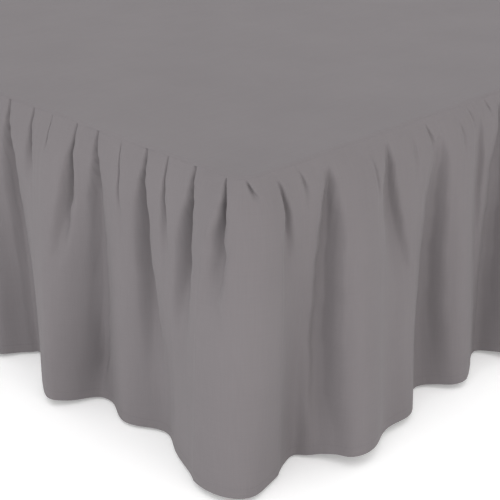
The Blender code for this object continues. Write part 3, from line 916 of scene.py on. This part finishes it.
def frill_surface(label, down):
    """The frill's outer face at a thread and a share of the drop.

    It leaves the seam at the slope of the platform's turned edge and puffs out as 1 - exp(-d / L), and the
    puff eases towards the hem. A thread swings out to its place in the hem's folds as 1 - (1 - down)^n and
    drops straight down for what is left of its length: the drop less half of the sideways way squared, over
    the drop. Ripples, soft dents and fine puckers under the seam are added to how far the cloth stands out,
    and creases taken from it. A soft floor, (a + (a^2 + e^2)^0.5) / 2 above the deepest line, keeps it off
    the base."""
    seam_z = DECK_HEIGHT - SEAM_DEPTH + TUCK
    drop = seam_z - HEM_CLEARANCE
    below = down * drop - TUCK + np.zeros_like(label)
    hanging = np.maximum(below, 0.0)
    tops, hems, reaches = np.array(HEM_POINTS).T
    hem = softened(tops, hems, label)
    reach = softened(tops, reaches, label)
    opening = FOLD_OPENING + UNEVEN_OPENING * waves(*OPENING_WAVES, label / OPENING_SIZE)
    swing = reach * (1.0 - (1.0 - down) ** opening)
    bulge = PUFF * (1.0 + UNEVEN_PUFF * waves(*PUFF_WAVES, label / PUFF_SIZE))
    left = 1.0 - (1.0 - PUFF_LEFT_AT_HEM) * smoothstep(down / PUFF_RELAXED)
    puff = bulge * (1.0 - np.exp(-below / (bulge * math.tan(SEAM_ANGLE)))) * left
    free = 1.0 - np.exp(-hanging / FREE_RUN)
    ripple = waves(*RIPPLE_WAVES, label / RIPPLE_SIZE[0], down / RIPPLE_SIZE[1])
    ripple = RIPPLE * ripple * (RIPPLE_LOW_DOWN + np.exp(-down / RIPPLE_RUN)) * free
    puckers = waves(*PUCKER_WAVES, label / PUCKER_SIZE[0], below / PUCKER_SIZE[1])
    puckers = PUCKER * puckers * np.exp(-below / PUCKER_FADE) * free
    dents = DENT * waves(*DENT_WAVES, label / DENT_SIZE[0], down / DENT_SIZE[1]) * free
    taken, shift = crease_fields(label, down, below)
    out = swing + puff + ripple + puckers + dents - taken - SEAM_INSET
    sewn = np.exp(-hanging / SEWN_RUN)
    deepest = DEEPEST - DEEPER_WHERE_SEWN * sewn
    above = out - deepest
    ease = DEEPEST_EASE * (EASE_WHERE_FREE - sewn)
    out = deepest + 0.5 * (above + np.sqrt(above**2 + ease**2))
    out = out - LIE_AGAINST * np.exp(-below / LIE_RUN)
    station = label + (hem - label) * down + shift
    x, y = edge_point(station, out)
    power = 2.0 * opening - 1.0
    lost = reach**2 * opening**2 / power * (1.0 - (1.0 - down) ** power) + (hem - label) ** 2 * down
    uneven_hem = UNEVEN_HEM * waves(*HEM_WAVES, label / HEM_SIZE)
    z = seam_z - drop * down + 0.5 * lost / drop + uneven_hem * down
    return np.stack([x, y, z], axis=2), drop


def frill_length(number):
    """One cut length of the frill, from join to join, as a grid, with its two UV maps.

    Rows crowd in at the seam, where share r of the way down is (exp(c r) - 1) / (exp(c) - 1), and the last
    row but one lies close to the hem's edge and keeps it crisp."""
    start = number * EDGE_LENGTH / CUT_LENGTHS
    end = (number + 1) * EDGE_LENGTH / CUT_LENGTHS
    row = np.linspace(0.0, 1.0, FRILL_ROWS + 1)[:, None]
    down = (np.exp(ROW_CROWDING * row) - 1.0) / (math.exp(ROW_CROWDING) - 1.0)
    down = np.insert(down, -1, CRISP_HEM_SHARE, axis=0)
    label = thread_labels(start, end, down)
    points, drop = frill_surface(label, down)
    fallen = down * drop + np.zeros_like(label)
    cloth = np.stack([label * FULLNESS, fallen], axis=2)
    seam = np.stack([label, fallen], axis=2)
    return points, {"cloth": cloth, "seam": seam}


frill_finish = skirt_cloth("frill_cloth", DECK_HEIGHT - SEAM_DEPTH + TUCK - HEM_CLEARANCE)
for number in range(CUT_LENGTHS):
    points, uvs = frill_length(number)
    name = f"frill_cloth_{number + 1}"
    frill_mesh = grid_mesh(name, points, uvs=uvs)
    frill = add_piece(name, frill_mesh, frill_finish, "skirt_cloth", f"frill_strip_{number + 1}")
    add_cloth_thickness(frill)


# ---------------------------------------------------------------------------------------------------------
# The studio. A pale floor, a bright surround that is brightest overhead, one large soft light in front of
# the foot and one on the right, and a camera that looks down on the right foot corner.
FLOOR_SIZE = 30.0
FLOOR_COLOUR = (0.90, 0.90, 0.90)
FLOOR_GLOW = 0.25
FLOOR_ROUGHNESS = 0.9
FLOOR_SPECULAR = 0.1
ZENITH = 1.41
HORIZON = 0.50
FOOT_CORNER = np.array([HALF_WIDTH, FOOT_Y, 0.0])
LIGHT_SIZE = 2.0
KEY_FROM_CORNER = (0.5, -4.5, 1.1)
KEY_AIMED_AT = (-0.2, 0.0, 0.2)
KEY_POWER = 43.0
KEY_COLOUR = (1.0, 0.99, 1.0)
FILL_FROM_CORNER = (4.6, 0.0, 1.2)
FILL_AIMED_AT = (0.0, 0.3, 0.2)
FILL_POWER = 29.0
FILL_COLOUR = (1.0, 0.92, 0.87)
FOCAL_LENGTH = 82.8
SENSOR = 36.0
CAMERA_FROM_CORNER = (0.862, -0.848, 0.863)
CAMERA_DIRECTION = (-0.6451, 0.6433, -0.4124)


def make_floor():
    """A square of pale, faintly glowing ground under the object."""
    made, _, shader = new_material("floor", FLOOR_ROUGHNESS)
    shader.inputs["Base Color"].default_value = (*FLOOR_COLOUR, 1.0)
    shader.inputs["Specular IOR Level"].default_value = FLOOR_SPECULAR
    shader.inputs["Emission Color"].default_value = (1.0, 1.0, 1.0, 1.0)
    shader.inputs["Emission Strength"].default_value = FLOOR_GLOW
    half = FLOOR_SIZE / 2
    mesh = bpy.data.meshes.new("floor")
    corners = [(-half, -half, 0), (half, -half, 0), (half, half, 0), (-half, half, 0)]
    mesh.from_pydata(corners, [], [(0, 1, 2, 3)])
    mesh.materials.append(made)
    floor = bpy.data.objects.new("floor", mesh)
    bpy.context.scene.collection.objects.link(floor)


def aim(thing, direction):
    """Turns a light or a camera, which look down their own -Z, to look in the direction."""
    thing.rotation_mode = "QUATERNION"
    thing.rotation_quaternion = Vector(direction).to_track_quat("-Z", "Y")


def soft_light(name, from_corner, aimed_at, power, colour):
    """A round soft light and the place it is aimed at, both measured from the right foot corner."""
    light = bpy.data.lights.new(name, "AREA")
    light.color = colour
    light.shape = "DISK"
    light.size = LIGHT_SIZE
    light.energy = power
    lamp = bpy.data.objects.new(name, light)
    lamp.location = FOOT_CORNER + from_corner
    aim(lamp, np.subtract(aimed_at, from_corner))
    bpy.context.scene.collection.objects.link(lamp)


def surround():
    """A bright surround, brightest overhead: its strength is horizon + (zenith - horizon) |z|."""
    world = bpy.data.worlds.new("surround")
    world.use_nodes = True
    tree = world.node_tree
    place = tree.nodes.new("ShaderNodeTexCoord").outputs["Generated"]
    height = calculate(tree, "ABSOLUTE", split(tree, place)["Z"])
    strength = ramp(tree, height, 0.0, 1.0, HORIZON, ZENITH)
    tree.links.new(strength, tree.nodes["Background"].inputs["Strength"])
    tree.nodes["Background"].inputs["Color"].default_value = (1.0, 1.0, 1.0, 1.0)
    bpy.context.scene.world = world


make_floor()
surround()
soft_light("key", KEY_FROM_CORNER, KEY_AIMED_AT, KEY_POWER, KEY_COLOUR)
soft_light("fill", FILL_FROM_CORNER, FILL_AIMED_AT, FILL_POWER, FILL_COLOUR)
camera = bpy.data.cameras.new("camera")
camera.sensor_width = SENSOR
camera.lens = FOCAL_LENGTH
eye = bpy.data.objects.new("camera", camera)
eye.location = FOOT_CORNER + CAMERA_FROM_CORNER
aim(eye, CAMERA_DIRECTION)
bpy.context.scene.collection.objects.link(eye)
bpy.context.scene.camera = eye
bpy.context.scene.view_settings.view_transform = "Standard"
